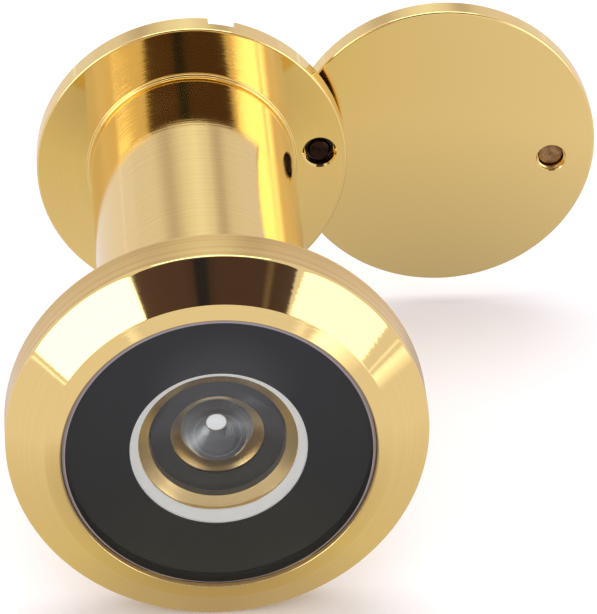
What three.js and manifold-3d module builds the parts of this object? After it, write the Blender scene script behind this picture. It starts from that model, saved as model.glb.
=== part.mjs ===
// Door viewer with a swinging privacy cover.
// Millimetres. +Y runs through the door from outside to inside, +Z is up, and the origin is on the
// viewer's axis in the plane where the bezel seats on the door's outer face.
// The cover is modelled swung open to the right of the eyepiece.
import * as THREE from 'three';
import { mergeVertices } from 'three/addons/utils/BufferGeometryUtils.js';
import Module from 'manifold-3d';

const wasm = await Module();
wasm.setup();

// ---- driving dimensions ----
const BEZEL_R = 13.5;        // outer radius of the bezel
const BEZEL_RIM = 2.8;       // height of the bezel's cylindrical rim
const BEZEL_HEIGHT = 5.0;    // whole height of the bezel above the door
const LIP_OUTER_R = 11.05;   // where the wide chamfer ends and the lens lip begins
const LIP_OUTER_Y = -4.68;
const LENS_WINDOW_R = 10.0;  // inner edge of the lip rolled over the glass
const BARREL_R = 7.0;        // outside of the barrel, for a 14 mm hole
const BARREL_END_Y = 31.2;   // free end of the barrel
const THREAD_R = 5.9;        // major radius of the thread that joins the two halves
const FIT_GAP = 0.08;        // radial clearance of seated rings and threads
const GRIP = 31.57;          // bezel seat to flange seat, fully screwed together
const FLANGE_R = 10.68;      // rear flange and cover
const FLANGE_THICK = 1.67;
const COVER_GAP = 1.1;       // flange to cover, held by the spring washer
const COVER_THICK = 1.5;
const COVER_ROUND = 0.15;    // edge rounding of the cover
const PIVOT_R = 8.82;        // flange centre to pivot, and pivot to cover centre
const PIVOT_ANGLE = 4.76;    // degrees above +X, seen from outside
const OPEN_ANGLE = -10.0;    // direction from pivot to cover centre, as modelled
const KNOB_R = 7.76;         // cover centre to knob
const KNOB_ANGLE = -8.4;
const SLOT_ANGLE = 78.4;     // coin slot in the flange's back
const SLOT_WIDTH = 1.85;
const SLOT_DEPTH = 0.8;
const FINE = 64;             // sides of the large turned pieces
const SMALL = 32;            // sides of the lens and ring pieces
const TINY = 16;             // sides of the pins

const FLANGE_BACK_Y = GRIP + FLANGE_THICK;
const COVER_Y = FLANGE_BACK_Y + COVER_GAP;
const COVER_BACK_Y = COVER_Y + COVER_THICK;

// ---- geometry helpers ----
// A point at a radius and an angle in the XZ plane, as seen from outside with +X to the right.
function polar(radius, degrees) {
  const angle = THREE.MathUtils.degToRad(degrees);
  return new THREE.Vector2(radius * Math.cos(angle), radius * Math.sin(angle));
}

// Points along an arc of a profile, angles in degrees from the +r direction towards +y.
function arc(r, y, radius, from, to, steps) {
  return Array.from({ length: steps + 1 }, (_, i) => {
    const turn = polar(radius, from + ((to - from) * i) / steps);
    return [r + turn.x, y + turn.y];
  });
}

function toSolid(geometry) {
  const bare = geometry.clone();
  bare.deleteAttribute('normal');
  bare.deleteAttribute('uv');
  const merged = mergeVertices(bare, 1e-4);
  const index = Array.from(merged.index.array);
  const triangles = [];
  for (let i = 0; i < index.length; i += 3) {
    const [a, b, c] = index.slice(i, i + 3);
    if (a !== b && b !== c && c !== a) triangles.push(a, b, c);
  }
  return new wasm.Manifold(new wasm.Mesh({
    numProp: 3,
    vertProperties: new Float32Array(merged.attributes.position.array),
    triVerts: new Uint32Array(triangles),
  }));
}

function toGeometry(solid) {
  const mesh = solid.getMesh();
  const geometry = new THREE.BufferGeometry();
  geometry.setAttribute('position', new THREE.BufferAttribute(mesh.vertProperties, 3));
  geometry.setIndex(new THREE.BufferAttribute(mesh.triVerts, 1));
  geometry.computeVertexNormals();
  return geometry;
}

// A turned piece about the Y axis, from its closed half section, points [radius, y] listed
// counter-clockwise with the radius to the right.
function turned(profile, sides, centre = new THREE.Vector2(0, 0)) {
  const points = profile.map(([r, y]) => new THREE.Vector2(Math.max(r, 0), y));
  points.push(points[0].clone());
  const geometry = new THREE.LatheGeometry(points, sides);
  geometry.translate(centre.x, 0, centre.y);
  return toSolid(geometry);
}

// A plain ring or disc between two radii and two heights.
function ring(inner, outer, fromY, toY, sides, centre) {
  return turned([[inner, fromY], [outer, fromY], [outer, toY], [inner, toY]], sides, centre);
}

// A radial box for cutting a slot, lying from the axis outwards at an angle.
function radialBox(fromR, toR, width, fromY, toY, degrees) {
  const box = new THREE.BoxGeometry(toR - fromR, toY - fromY, width);
  box.translate((fromR + toR) / 2, (fromY + toY) / 2, 0);
  box.rotateY(-THREE.MathUtils.degToRad(degrees));
  return toSolid(box);
}

// ---- materials ----
function metal(colour, roughness) {
  return new THREE.MeshStandardMaterial({ color: colour, roughness, metalness: 1 });
}

function plastic(colour, roughness) {
  return new THREE.MeshStandardMaterial({ color: colour, roughness, metalness: 0 });
}

function glass(colour) {
  return new THREE.MeshStandardMaterial({
    color: colour, roughness: 0.02, metalness: 0, transparent: true, opacity: 0.4,
  });
}

const GOLD = '#d9b45a';
const viewer = new THREE.Group();

function addPiece(name, solid, material) {
  const mesh = new THREE.Mesh(toGeometry(solid), material);
  mesh.name = name;
  viewer.add(mesh);
}

// ---- exterior half ----
// Bezel and barrel are one turned brass piece: a chamfered head with a lip over the glass, a pocket
// for the objective, a stepped bore for the lens stack and a threaded bore for the inner tube.
const POCKET_R = 10.4;
const POCKET_FLOOR_Y = -3.7;
const STACK_BORE_R = 6.0;
const SHOULDER_Y = 6.2;
const SHOULDER_R = 5.2;
const SHOULDER_THICK = 0.6;
const LENS_FRONT_Y = -4.78;
const LIP_UNDER_Y = LENS_FRONT_Y + 0.2;
const barrelBore = THREAD_R + FIT_GAP;
const frontBarrel = turned([
  [LENS_WINDOW_R, LIP_UNDER_Y],
  [LENS_WINDOW_R + 0.1, -BEZEL_HEIGHT],
  [LIP_OUTER_R - 0.1, LIP_OUTER_Y - 0.04],
  [LIP_OUTER_R + 0.06, LIP_OUTER_Y + 0.05],
  [BEZEL_R - 0.12, -BEZEL_RIM - 0.09],
  [BEZEL_R, -BEZEL_RIM + 0.1],
  ...arc(BEZEL_R - 0.3, -0.3, 0.3, 0, 90, 3),
  [BARREL_R, 0],
  [BARREL_R, BARREL_END_Y - 0.25],
  [BARREL_R - 0.25, BARREL_END_Y],
  [barrelBore + 0.2, BARREL_END_Y],
  [barrelBore, BARREL_END_Y - 0.2],
  [barrelBore, SHOULDER_Y + SHOULDER_THICK],
  [SHOULDER_R, SHOULDER_Y + SHOULDER_THICK],
  [SHOULDER_R, SHOULDER_Y],
  [STACK_BORE_R, SHOULDER_Y],
  [STACK_BORE_R, POCKET_FLOOR_Y],
  [POCKET_R, POCKET_FLOOR_Y],
  [POCKET_R, LIP_UNDER_Y],
], FINE);
addPiece('front_barrel', frontBarrel, metal(GOLD, 0.12));

// Front lens: flat outside, with a ground bevel and a thin rim that goes under the lip, and a shallow
// hollow in the middle of its back.
const FLANGE_GLASS_R = POCKET_R - FIT_GAP;
const GLASS_BACK_Y = LENS_FRONT_Y + 0.88;
const HOLLOW_R = 4.6;
const HOLLOW_DEPTH = 0.45;
const hollowRadius = (HOLLOW_R ** 2 + HOLLOW_DEPTH ** 2) / (2 * HOLLOW_DEPTH);
const hollowHalf = THREE.MathUtils.radToDeg(Math.asin(HOLLOW_R / hollowRadius));
addPiece('objective_lens', turned([
  [0, LENS_FRONT_Y],
  [LENS_WINDOW_R - 0.24, LENS_FRONT_Y],
  [LENS_WINDOW_R - 0.02, LIP_UNDER_Y + 0.04],
  [FLANGE_GLASS_R, LIP_UNDER_Y + 0.04],
  [FLANGE_GLASS_R, GLASS_BACK_Y],
  ...arc(0, GLASS_BACK_Y - HOLLOW_DEPTH + hollowRadius, hollowRadius, hollowHalf - 90, -90, 4),
], FINE), glass('#dfe6ea'));

// Black mask behind the glass, which leaves only the middle of the lens clear.
const MASK_HOLE_R = 5.66;
const MASK_THICK = 0.12;
const maskY = GLASS_BACK_Y + 0.05;
addPiece('lens_mask', ring(MASK_HOLE_R, FLANGE_GLASS_R - 0.1, maskY, maskY + MASK_THICK, FINE),
  plastic('#26282b', 0.5));

// The lens stack drops into the barrel's bore from the front, ring on lens on ring.
const STACK_R = STACK_BORE_R - FIT_GAP;
const STACK_GAP = 0.06;
const seatRingY = POCKET_FLOOR_Y + 0.02;
const SEAT_RING_THICK = 0.52;
const SEAT_RING_BORE = 5.13;
addPiece('lens_seat_ring', turned([
  [SEAT_RING_BORE, seatRingY + SEAT_RING_THICK - 0.04],
  [MASK_HOLE_R - 0.04, seatRingY],
  [STACK_R, seatRingY],
  [STACK_R, seatRingY + SEAT_RING_THICK],
  [SEAT_RING_BORE, seatRingY + SEAT_RING_THICK],
], SMALL), plastic('#e6e4de', 0.6));

const frontSpacerY = seatRingY + SEAT_RING_THICK + STACK_GAP;
const FRONT_SPACER_THICK = 0.36;
const FRONT_SPACER_BORE = 4.5;
addPiece('front_spacer', turned([
  [FRONT_SPACER_BORE, frontSpacerY + FRONT_SPACER_THICK - 0.04],
  [SEAT_RING_BORE - 0.05, frontSpacerY],
  [STACK_R, frontSpacerY],
  [STACK_R, frontSpacerY + FRONT_SPACER_THICK],
  [FRONT_SPACER_BORE, frontSpacerY + FRONT_SPACER_THICK],
], SMALL), metal(GOLD, 0.2));

// Stop cup: a dark ring with a raised wall and a floor that narrows the beam.
const stopY = frontSpacerY + FRONT_SPACER_THICK + STACK_GAP;
const STOP_WALL = 0.43;
const STOP_THICK = STOP_WALL + 0.2;
const STOP_HOLE_R = 3.16;
addPiece('stop_cup', turned([
  [4.52, stopY],
  [STACK_R, stopY],
  [STACK_R, stopY + STOP_THICK],
  [STOP_HOLE_R, stopY + STOP_THICK],
  [STOP_HOLE_R, stopY + STOP_WALL],
  [4.45, stopY + STOP_WALL],
], SMALL), plastic('#3b3c40', 0.4));

const domeSpacerY = stopY + STOP_THICK + STACK_GAP;
const DOME_SPACER_THICK = 0.76;
const DOME_SPACER_BORE = 2.5;
addPiece('dome_spacer', turned([
  [DOME_SPACER_BORE, domeSpacerY + DOME_SPACER_THICK - 0.1],
  [STOP_HOLE_R - 0.04, domeSpacerY],
  [STACK_R, domeSpacerY],
  [STACK_R, domeSpacerY + DOME_SPACER_THICK],
  [DOME_SPACER_BORE, domeSpacerY + DOME_SPACER_THICK],
], SMALL), metal(GOLD, 0.2));

// Second lens: nearly a half ball on a thin collar, with its dome standing in the spacer's bore.
const domeLensY = domeSpacerY + DOME_SPACER_THICK + STACK_GAP;
const DOME_R = 2.38;
const DOME_COLLAR = 0.6;
addPiece('dome_lens', turned([
  ...arc(0, domeLensY + 0.09, DOME_R, -90, -6, 5),
  [DOME_R, domeLensY],
  [STACK_R, domeLensY],
  [STACK_R, domeLensY + DOME_COLLAR],
  [0, domeLensY + DOME_COLLAR],
], SMALL), glass('#dfe6ea'));

// Rear spacer: a cup whose floor, with a small hole, is the aperture behind the dome lens.
const rearSpacerY = domeLensY + DOME_COLLAR + STACK_GAP;
const REAR_SPACER_THICK = 3.7;
const APERTURE_R = 0.5;
const APERTURE_FLOOR = 0.5;
addPiece('rear_spacer', turned([
  [APERTURE_R, rearSpacerY],
  [STACK_R, rearSpacerY],
  [STACK_R, rearSpacerY + REAR_SPACER_THICK],
  [4.7, rearSpacerY + REAR_SPACER_THICK],
  [4.7, rearSpacerY + APERTURE_FLOOR],
  [APERTURE_R, rearSpacerY + APERTURE_FLOOR],
], SMALL), plastic('#1b1c1e', 0.6));

// Third lens: biconvex, resting on the barrel's shoulder.
const fieldLensY = rearSpacerY + REAR_SPACER_THICK + STACK_GAP;
const fieldLensEnd = SHOULDER_Y - STACK_GAP;
const FIELD_CURVE_R = 9.0;
const FIELD_FACE_R = 4.6;
const fieldHalf = THREE.MathUtils.radToDeg(Math.asin(FIELD_FACE_R / FIELD_CURVE_R));
const fieldSag = FIELD_CURVE_R * Math.cos(THREE.MathUtils.degToRad(fieldHalf));
addPiece('field_lens', turned([
  ...arc(0, fieldLensY + fieldSag, FIELD_CURVE_R, -90, fieldHalf - 90, 4),
  [STACK_R, fieldLensY],
  [STACK_R, fieldLensEnd],
  ...arc(0, fieldLensEnd - fieldSag, FIELD_CURVE_R, 90 - fieldHalf, 90, 4),
], SMALL), glass('#dfe6ea'));

// ---- interior half ----
// Inner tube: threaded outside, it screws into the barrel, and carries the eyepiece in its end.
const TUBE_FRONT_Y = 7.6;
const TUBE_END_Y = GRIP + 0.72;
const TUBE_BORE_R = 4.9;
const EYE_SEAT_R = 5.2;
const EYE_SEAT_Y = 28.4;
addPiece('inner_tube', turned([
  [TUBE_BORE_R, TUBE_FRONT_Y],
  [THREAD_R - 0.4, TUBE_FRONT_Y],
  [THREAD_R, TUBE_FRONT_Y + 0.4],
  [THREAD_R, TUBE_END_Y],
  [EYE_SEAT_R, TUBE_END_Y],
  [EYE_SEAT_R, EYE_SEAT_Y],
  [TUBE_BORE_R, EYE_SEAT_Y],
], SMALL), metal('#cfa94f', 0.3));

// Baffle ring in the mouth of the inner tube.
addPiece('tube_baffle', ring(3.6, TUBE_BORE_R - FIT_GAP, TUBE_FRONT_Y + 0.3, TUBE_FRONT_Y + 1.1, SMALL),
  plastic('#1b1c1e', 0.6));

// Eyepiece: a biconvex lens clamped between the tube's step ring and the flange.
const EYE_R = EYE_SEAT_R - FIT_GAP;
const EYE_RING_Y = EYE_SEAT_Y + STACK_GAP;
const EYE_RING_THICK = 0.9;
const eyeY = EYE_RING_Y + EYE_RING_THICK + 0.7;
const EYE_EDGE = 1.4;
const EYE_CURVE_R = 9.5;
const EYE_FACE_R = 4.3;
const eyeHalf = THREE.MathUtils.radToDeg(Math.asin(EYE_FACE_R / EYE_CURVE_R));
const eyeSag = EYE_CURVE_R * Math.cos(THREE.MathUtils.degToRad(eyeHalf));
addPiece('eyepiece_ring', ring(4.45, EYE_R, EYE_RING_Y, eyeY - STACK_GAP, SMALL), metal(GOLD, 0.25));
addPiece('eyepiece_lens', turned([
  ...arc(0, eyeY + eyeSag, EYE_CURVE_R, -90, eyeHalf - 90, 4),
  [EYE_R, eyeY],
  [EYE_R, eyeY + EYE_EDGE],
  ...arc(0, eyeY + EYE_EDGE - eyeSag, EYE_CURVE_R, 90 - eyeHalf, 90, 4),
], SMALL), glass('#dfe6ea'));

// Rear flange: a brass disc with a raised ring that meets the barrel's end, a dished eyepiece
// window, two coin slots across its back and a counterbored hole for the cover's pivot.
const pivot = polar(PIVOT_R, PIVOT_ANGLE);
const WINDOW_R = 4.1;
const DISH_R = 5.6;
const COUNTERBORE_R = THREAD_R + FIT_GAP;
const COUNTERBORE_Y = TUBE_END_Y + 0.05;
const RAISED_R = 7.2;
const RAISED_Y = GRIP - 0.3;
const PIN_R = 0.72;
const PIN_HOLE_R = 0.8;
const PIN_COUNTERBORE_R = 1.06;
const PIN_COUNTERBORE_DEPTH = 0.95;
let rearFlange = turned([
  [COUNTERBORE_R, RAISED_Y],
  [RAISED_R - 0.1, RAISED_Y],
  [RAISED_R, RAISED_Y + 0.1],
  [RAISED_R, GRIP],
  [FLANGE_R - 0.15, GRIP],
  [FLANGE_R, GRIP + 0.15],
  [FLANGE_R, FLANGE_BACK_Y - 0.1],
  [FLANGE_R - 0.1, FLANGE_BACK_Y],
  [DISH_R, FLANGE_BACK_Y],
  [WINDOW_R, FLANGE_BACK_Y - 0.5],
  [WINDOW_R, COUNTERBORE_Y],
  [COUNTERBORE_R, COUNTERBORE_Y],
], FINE);
const OVERCUT = 0.5;
for (const turn of [0, 180]) {
  rearFlange = rearFlange.subtract(radialBox(DISH_R - 0.4, FLANGE_R + OVERCUT, SLOT_WIDTH,
    FLANGE_BACK_Y - SLOT_DEPTH, FLANGE_BACK_Y + OVERCUT, SLOT_ANGLE + turn));
}
rearFlange = rearFlange
  .subtract(ring(0, PIN_HOLE_R, GRIP - OVERCUT, FLANGE_BACK_Y + OVERCUT, TINY, pivot))
  .subtract(ring(0, PIN_COUNTERBORE_R, GRIP - OVERCUT, GRIP + PIN_COUNTERBORE_DEPTH, TINY, pivot));
addPiece('rear_flange', rearFlange, metal(GOLD, 0.12));

// ---- privacy cover ----
// Pivot pin: pressed into the cover, it has a shoulder and runs in the flange's hole.
const PIN_SOCKET_DEPTH = 0.95;
const PIN_TAIL_Y = GRIP + 0.3;
const SHOULDER_PIN_R = 1.5;
const PIN_SHOULDER_Y = FLANGE_BACK_Y + 0.62;
const pinEnd = COVER_Y + PIN_SOCKET_DEPTH - 0.05;
addPiece('pivot_pin', turned([
  [0, PIN_TAIL_Y],
  [PIN_R - 0.15, PIN_TAIL_Y],
  [PIN_R, PIN_TAIL_Y + 0.15],
  [PIN_R, PIN_SHOULDER_Y],
  [SHOULDER_PIN_R, PIN_SHOULDER_Y],
  [SHOULDER_PIN_R, COVER_Y - 0.05],
  [PIN_R, COVER_Y - 0.05],
  [PIN_R, pinEnd],
  [0, pinEnd],
], TINY, pivot), metal('#8a6a3a', 0.35));

// Retaining collar, staked on the pin's tail inside the counterbore.
addPiece('pivot_collar', ring(PIN_R + 0.04, PIN_COUNTERBORE_R - 0.08, GRIP + 0.5,
  GRIP + PIN_COUNTERBORE_DEPTH - 0.06, TINY, pivot), metal('#9a9488', 0.35));

// Spring washer: a shallow cone that presses the cover's shoulder away from the flange.
addPiece('spring_washer', turned([
  [0.9, PIN_SHOULDER_Y - 0.23],
  [1.75, FLANGE_BACK_Y + 0.06],
  [1.75, FLANGE_BACK_Y + 0.24],
  [0.9, PIN_SHOULDER_Y - 0.05],
], TINY, pivot), metal('#b9b6ae', 0.3));

// Cover: a thick brass disc with broken edges, a blind socket for the pivot pin and a stepped hole
// for the knob.
const coverCentre = pivot.clone().add(polar(PIVOT_R, OPEN_ANGLE));
const knobCentre = coverCentre.clone().add(polar(KNOB_R, KNOB_ANGLE));
const KNOB_SHANK_R = 0.85;
const KNOB_STEP_R = 0.98;
const KNOB_STEP_DEPTH = 0.3;
let cover = turned([
  [0, COVER_Y],
  ...arc(FLANGE_R - COVER_ROUND, COVER_Y + COVER_ROUND, COVER_ROUND, -90, 0, 3),
  ...arc(FLANGE_R - COVER_ROUND, COVER_BACK_Y - COVER_ROUND, COVER_ROUND, 0, 90, 3),
  [0, COVER_BACK_Y],
], FINE, coverCentre);
cover = cover
  .subtract(ring(0, PIN_R + 0.05, COVER_Y - OVERCUT, COVER_Y + PIN_SOCKET_DEPTH, TINY, pivot))
  .subtract(ring(0, KNOB_STEP_R, COVER_Y - OVERCUT, COVER_Y + KNOB_STEP_DEPTH, TINY, knobCentre))
  .subtract(ring(0, KNOB_SHANK_R + 0.05, COVER_Y, COVER_BACK_Y + OVERCUT, TINY, knobCentre));
addPiece('cover_disc', cover, metal(GOLD, 0.16));

// Knob: a small turned finger knob on the room side, its shank set in the cover's hole.
const SHANK_END_Y = COVER_Y + 0.63;
const KNOB_SEAT_Y = COVER_BACK_Y + 0.04;
const KNOB_HEIGHT = 2.2;
const KNOB_HEAD_R = 1.5;
const KNOB_NECK_R = 1.1;
addPiece('cover_knob', turned([
  [0, SHANK_END_Y],
  [KNOB_SHANK_R, SHANK_END_Y],
  [KNOB_SHANK_R, KNOB_SEAT_Y],
  [KNOB_NECK_R + 0.2, KNOB_SEAT_Y],
  [KNOB_NECK_R, KNOB_SEAT_Y + 0.3],
  [KNOB_NECK_R, KNOB_SEAT_Y + 0.7],
  [KNOB_HEAD_R, KNOB_SEAT_Y + 1.1],
  [KNOB_HEAD_R, KNOB_SEAT_Y + KNOB_HEIGHT - 0.45],
  [KNOB_HEAD_R - 0.45, KNOB_SEAT_Y + KNOB_HEIGHT],
  [0, KNOB_SEAT_Y + KNOB_HEIGHT],
], TINY, knobCentre), metal(GOLD, 0.15));

export default viewer;
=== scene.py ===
"""Door viewer with a swinging privacy cover, in polished gold plated brass.

Metres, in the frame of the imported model: +Y runs through the door from outside to inside, +Z is up,
and the origin is on the viewer's axis where the bezel seats on the door.
"""

import math

import bmesh
import bpy
from mathutils import Matrix, Vector


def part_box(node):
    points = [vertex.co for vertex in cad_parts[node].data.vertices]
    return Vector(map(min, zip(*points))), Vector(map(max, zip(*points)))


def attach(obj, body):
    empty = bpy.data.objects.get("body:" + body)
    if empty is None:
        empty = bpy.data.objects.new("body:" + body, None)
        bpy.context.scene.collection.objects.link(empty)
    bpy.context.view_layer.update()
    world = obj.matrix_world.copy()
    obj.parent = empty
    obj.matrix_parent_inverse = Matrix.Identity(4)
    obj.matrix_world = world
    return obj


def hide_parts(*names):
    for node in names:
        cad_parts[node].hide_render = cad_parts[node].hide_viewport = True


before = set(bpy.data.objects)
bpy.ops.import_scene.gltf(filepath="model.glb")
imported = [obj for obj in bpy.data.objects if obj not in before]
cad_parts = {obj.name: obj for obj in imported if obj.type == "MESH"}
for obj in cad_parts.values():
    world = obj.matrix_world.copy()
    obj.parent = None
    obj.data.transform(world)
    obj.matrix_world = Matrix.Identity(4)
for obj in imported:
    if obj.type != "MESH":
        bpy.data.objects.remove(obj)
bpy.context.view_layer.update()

# ---- camera ----
# A long lens looks down along the barrel from in front of the bezel, a little from the left. It aims
# near the middle of the part.
VIEW_AZIMUTH = math.radians(3.66)
VIEW_ELEVATION = math.radians(31.683)
VIEW_DISTANCE = 0.3645
VIEW_AIM = Vector((0.00622, 0.01409, -0.00092))
view_direction = Vector((math.sin(VIEW_AZIMUTH) * math.cos(VIEW_ELEVATION),
                         math.cos(VIEW_AZIMUTH) * math.cos(VIEW_ELEVATION),
                         -math.sin(VIEW_ELEVATION)))
camera = bpy.data.objects.new("camera", bpy.data.cameras.new("camera"))
bpy.context.scene.collection.objects.link(camera)
camera.location = VIEW_AIM - view_direction * VIEW_DISTANCE
camera.rotation_euler = view_direction.to_track_quat("-Z", "Y").to_euler()
camera.data.sensor_width = 36.0
camera.data.lens = 322.5
camera.data.clip_start = 0.01
bpy.context.scene.camera = camera

# ---- studio ----
# A white table in a white tent, lit by soft boxes left, right and overhead. The tent is open where the
# camera stands, and the polished gold shows that dark gap at the top of every edge. Cards seen only in
# reflections and through the lenses stand for the gap, the back wall's strips and the table top.
FLOOR_DROP = 0.0136
TENT_LIGHT = 1.0
bpy.context.scene.view_settings.view_transform = "Standard"


def colour(code):
    """An sRGB hex code as linear red, green, blue and alpha."""
    parts = [int(code[i:i + 2], 16) / 255 for i in (1, 3, 5)]
    return [c / 12.92 if c <= 0.04045 else ((c + 0.055) / 1.055) ** 2.4 for c in parts] + [1.0]


def add_node(tree, kind, inputs=None, **settings):
    """Adds a node with its settings. An input's value is a number, a colour or another node's output."""
    made = tree.nodes.new(kind)
    for name, value in settings.items():
        setattr(made, name, value)
    for key, value in (inputs or {}).items():
        if isinstance(value, bpy.types.NodeSocket):
            tree.links.new(value, made.inputs[key])
        else:
            made.inputs[key].default_value = value
    return made


def add_ramp(tree, factor, stops):
    """A colour ramp through (position, hex code) stops."""
    ramp = add_node(tree, "ShaderNodeValToRGB", {"Fac": factor})
    for element, (position, code) in zip(ramp.color_ramp.elements, (stops[0], stops[-1])):
        element.position = position
        element.color = colour(code)
    for position, code in stops[1:-1]:
        ramp.color_ramp.elements.new(position).color = colour(code)
    return ramp.outputs["Color"]


def new_material(name):
    """An empty node material and its tree."""
    material = bpy.data.materials.new(name)
    material.use_nodes = True
    material.node_tree.nodes.clear()
    return material, material.node_tree


def new_object(name, mesh, *materials):
    """A linked object that holds a mesh and its materials."""
    made = bpy.data.objects.new(name, mesh)
    bpy.context.scene.collection.objects.link(made)
    for material in materials:
        mesh.materials.append(material)
    return made


world = bpy.data.worlds.new("white_tent")
bpy.context.scene.world = world
world.use_nodes = True
world.node_tree.nodes["Background"].inputs["Color"].default_value = colour("#EFE9F0")
world.node_tree.nodes["Background"].inputs["Strength"].default_value = TENT_LIGHT

table_paper, tree = new_material("white_table_paper")
paper = add_node(tree, "ShaderNodeBsdfPrincipled", {
    "Base Color": colour("#FAFAFA"), "Roughness": 0.9, "Specular IOR Level": 0.1})
add_node(tree, "ShaderNodeOutputMaterial", {"Surface": paper.outputs[0]})
floor_mesh = bpy.data.meshes.new("table")
FLOOR_HALF = 3.0
floor_mesh.from_pydata([(x * FLOOR_HALF, y * FLOOR_HALF, -FLOOR_DROP)
                        for x, y in ((-1, -1), (1, -1), (1, 1), (-1, 1))], [], [(0, 1, 2, 3)])
floor = new_object("table", floor_mesh, table_paper)


def soft_box(name, azimuth, elevation, distance, width, height, radiance):
    """A rectangular light that faces the viewer from an azimuth (0 is straight in front) and height."""
    light = bpy.data.lights.new(name, "AREA")
    light.shape = "RECTANGLE"
    light.size = width
    light.size_y = height
    light.energy = radiance * math.pi * width * height
    made = bpy.data.objects.new(name, light)
    bpy.context.scene.collection.objects.link(made)
    flat = math.cos(math.radians(elevation))
    away = Vector((math.sin(math.radians(azimuth)) * flat, -math.cos(math.radians(azimuth)) * flat,
                   math.sin(math.radians(elevation))))
    made.location = away * distance
    made.rotation_euler = (-away).to_track_quat("-Z", "Y").to_euler()
    return made


BOX_DISTANCE = 0.9
soft_box("left_soft_box", -47, 18, BOX_DISTANCE, width=0.50, height=0.56, radiance=2.3)
soft_box("right_soft_box", 45, 16, BOX_DISTANCE, width=0.56, height=0.54, radiance=1.4)
soft_box("top_soft_box", 180, 75, BOX_DISTANCE, width=0.8, height=0.6, radiance=2.2)


def seen_in_reflections(card):
    """Hides a stage card from everything except reflections and the view through the lenses."""
    card.visible_camera = False
    card.visible_diffuse = False
    card.visible_shadow = False


def curved_card(name, azimuths, elevations, radius, stops, steps=24):
    """A glowing card, part of a sphere round the viewer, with upright stripes from its stops."""
    shader, tree = new_material(name)
    across = add_node(tree, "ShaderNodeUVMap", uv_map="across")
    stripes = add_ramp(tree, add_node(tree, "ShaderNodeSeparateXYZ", {
        "Vector": across.outputs["UV"]}).outputs["X"], stops)
    glow = add_node(tree, "ShaderNodeEmission", {"Color": stripes, "Strength": 1.0})
    add_node(tree, "ShaderNodeOutputMaterial", {"Surface": glow.outputs[0]})
    mesh = bpy.data.meshes.new(name)
    points = []
    for i in range(steps + 1):
        a = math.radians(azimuths[0] + (azimuths[1] - azimuths[0]) * i / steps)
        for e in (math.radians(e) for e in elevations):
            points.append((radius * math.sin(a) * math.cos(e), -radius * math.cos(a) * math.cos(e),
                           radius * math.sin(e)))
    mesh.from_pydata(points, [], [(2 * i, 2 * i + 2, 2 * i + 3, 2 * i + 1) for i in range(steps)])
    layer = mesh.uv_layers.new(name="across")
    for loop in mesh.loops:
        layer.data[loop.index].uv = (loop.vertex_index // 2 / steps, loop.vertex_index % 2)
    seen_in_reflections(new_object(name, mesh, shader))


curved_card("dark_tent_gap", azimuths=(-33, 37), elevations=(20, 64), radius=0.7, stops=(
    (0.0, "#574549"), (0.30, "#513F45"), (0.355, "#4A3A40"), (0.375, "#2A2B39"), (0.44, "#2A2B39"),
    (0.47, "#43383B"), (0.53, "#4E3D42"), (0.84, "#4E3D42"), (0.87, "#75665E"), (0.90, "#4C3C40"),
    (1.0, "#52444A")))
curved_card("tent_back_strips", azimuths=(140, 220), elevations=(8, 62), radius=0.75, stops=(
    (0.0, "#E6DEE4"), (0.20, "#EBE3EA"), (0.27, "#E4DCE0"), (0.32, "#CBC1C2"), (0.345, "#CBC1C2"),
    (0.40, "#EDE8EA"), (0.50, "#FFFFFF"), (0.60, "#F2EDEC"), (0.70, "#CBC2C2"), (0.73, "#CFC6C8"),
    (0.79, "#EBE5EA"), (1.0, "#E9E2E8")))

# The table top as the gold shows it, with its light and shade painted on: dull and yellowish near the
# bezel, a painted shade with light bounced off the gold, pale further out, a painted shadow under the
# cover and in front of the bezel, and a painted pool of light where the right soft box shines on it.
CARD_HALF = 0.5
CARD_LIFT = 0.00002
BEZEL_FOOT = (0.0, -0.0025, -FLOOR_DROP)
COVER_SHADE = (0.0175, 0.036, -FLOOR_DROP)
FRONT_SHADE = (0.0, -0.031, -FLOOR_DROP)
LIGHT_POOL = (0.16, -0.19, -FLOOR_DROP)
table_shader, tree = new_material("table_top_in_reflections")
place = add_node(tree, "ShaderNodeTexCoord").outputs["Object"]
from_bezel = add_node(tree, "ShaderNodeVectorMath", {0: place, 1: BEZEL_FOOT}, operation="DISTANCE")
reach = add_node(tree, "ShaderNodeMapRange", {
    "Value": from_bezel.outputs["Value"], "From Min": 0.0, "From Max": 0.04})
table_tone = add_ramp(tree, reach.outputs["Result"], (
    (0.0, "#B5A58F"), (0.14, "#C3B59E"), (0.30, "#DDD2B6"), (0.5, "#E2D8CE"), (1.0, "#F1EAEE")))
from_cover = add_node(tree, "ShaderNodeVectorMath", {0: place, 1: COVER_SHADE}, operation="DISTANCE")
under_cover = add_node(tree, "ShaderNodeMapRange", {
    "Value": from_cover.outputs["Value"],
    "From Min": 0.0, "From Max": 0.028, "To Min": 0.52, "To Max": 1.0})
from_front = add_node(tree, "ShaderNodeVectorMath", {0: place, 1: FRONT_SHADE}, operation="DISTANCE")
front = add_node(tree, "ShaderNodeMapRange", {
    "Value": from_front.outputs["Value"],
    "From Min": 0.016, "From Max": 0.026, "To Min": 0.45, "To Max": 1.0})
shade = add_node(tree, "ShaderNodeMath", {
    0: under_cover.outputs["Result"], 1: front.outputs["Result"]}, operation="MULTIPLY")
from_box = add_node(tree, "ShaderNodeVectorMath", {0: place, 1: LIGHT_POOL}, operation="DISTANCE")
pool = add_node(tree, "ShaderNodeMapRange", {
    "Value": from_box.outputs["Value"],
    "From Min": 0.06, "From Max": 0.16, "To Min": 1.6, "To Max": 0.0})
light_level = add_node(tree, "ShaderNodeMath", {
    0: shade.outputs[0], 1: pool.outputs["Result"]}, operation="ADD")
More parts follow.
